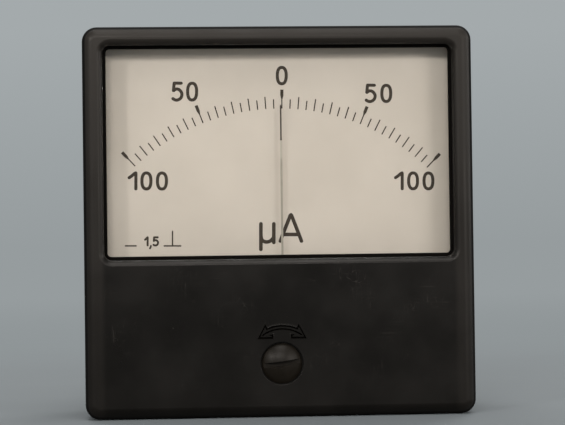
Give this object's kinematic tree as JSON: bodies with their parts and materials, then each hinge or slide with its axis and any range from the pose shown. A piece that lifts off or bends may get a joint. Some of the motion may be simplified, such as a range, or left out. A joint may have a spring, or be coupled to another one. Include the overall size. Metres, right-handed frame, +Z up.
{
  "type": "panel microammeter",
  "caption": "Square zero-centre moving-coil panel meter with a flat glass window, a screwdriver zero adjuster, a round rear barrel, fixing studs and screw terminals.",
  "frame": {"origin": "centre of the panel plane, on the barrel's axis, at the middle of the fixing studs", "axes": "+X right as seen from the front, +Y into the panel toward the terminals, +Z up; the front faces -Y"},
  "size_m": [0.08, 0.0498, 0.08],
  "materials": {
    "front_plastic": "satin",
    "case_plastic": "satin",
    "gasket_rubber": "matte",
    "window_glass": "polished",
    "retainer_plastic": "matte",
    "adjuster_plastic": "satin",
    "spring_steel": "satin",
    "stud_steel": "satin",
    "screw_steel": "satin",
    "dial_paint": "matte",
    "movement_brass": "satin",
    "frame_aluminium": "satin",
    "yoke_iron": "satin",
    "magnet_alloy": "satin",
    "jewel": "polished",
    "former_aluminium": "satin",
    "copper_wire": "satin",
    "spindle_steel": "polished",
    "pointer_aluminium": "satin",
    "spring_bronze": "polished",
    "terminal_brass": "satin",
    "lug_tin": "satin",
    "wire_sleeve": "satin"
  },
  "bodies": {
    "housing": {"bezel": "front_plastic", "window_gasket": "gasket_rubber", "window_glass": "window_glass", "glass_retainer": "retainer_plastic", "adjuster_washer": "spring_steel", "case_flange": "case_plastic", "case_barrel": "case_plastic", "mounting_studs": "stud_steel", "bezel_screws": "screw_steel", "dial_plate": "dial_paint", "dial_posts": "movement_brass", "dial_screws": "screw_steel", "pointer_stops": "screw_steel", "movement_frame": "frame_aluminium", "movement_screws": "screw_steel", "yoke_ring": "yoke_iron", "yoke_screws": "screw_steel", "core_magnet": "magnet_alloy", "core_posts": "movement_brass", "front_pillars": "movement_brass", "front_bridge": "movement_brass", "front_bridge_screws": "screw_steel", "rear_pillars": "movement_brass", "rear_bridge": "movement_brass", "rear_bridge_screws": "screw_steel", "front_jewel_screw": "movement_brass", "rear_jewel_screw": "movement_brass", "front_lock_nut": "movement_brass", "rear_lock_nut": "movement_brass", "front_jewel": "jewel", "rear_jewel": "jewel", "rear_spring_tab": "movement_brass", "terminal_studs": "terminal_brass", "terminal_washers": "terminal_brass", "terminal_nuts": "terminal_brass", "solder_lugs": "lug_tin", "lead_wires": "wire_sleeve"},
    "zero_adjuster": {"zero_adjuster": "adjuster_plastic", "adjuster_clip": "spring_steel"},
    "zero_lever": {"zero_lever": "movement_brass"},
    "moving_coil": {"coil_former": "former_aluminium", "coil_winding": "copper_wire", "front_spindle": "spindle_steel", "rear_spindle": "spindle_steel", "front_collet": "movement_brass", "rear_collet": "movement_brass", "pointer": "pointer_aluminium", "balance_weights": "movement_brass", "front_hairspring": "spring_bronze", "rear_hairspring": "spring_bronze"}
  },
  "joints": [
    {"name": "zero_adjuster_turn", "type": "hinge", "parent": "housing", "child": "zero_adjuster", "pos_m": [0, -0.012, -0.02905], "axis": [0, 1, 0], "range_deg": [-30, 30]},
    {"name": "zero_lever_turn", "type": "hinge", "parent": "housing", "child": "zero_lever", "pos_m": [0.0007, 0, -0.02074], "axis": [0, 1, 0], "range_deg": [-3.4, 3.4]},
    {"name": "coil_turn", "type": "hinge", "parent": "zero_lever", "child": "moving_coil", "pos_m": [0.0007, 0, -0.02074], "axis": [0, 1, 0], "range_deg": [-46, 46], "stiffness_Nm_per_rad": 0.000004, "deforming": ["front_hairspring", "rear_hairspring"]}
  ],
  "couplings": [
    {"joint": "zero_lever_turn", "follows": "zero_adjuster_turn", "ratio": -0.113}
  ]
}
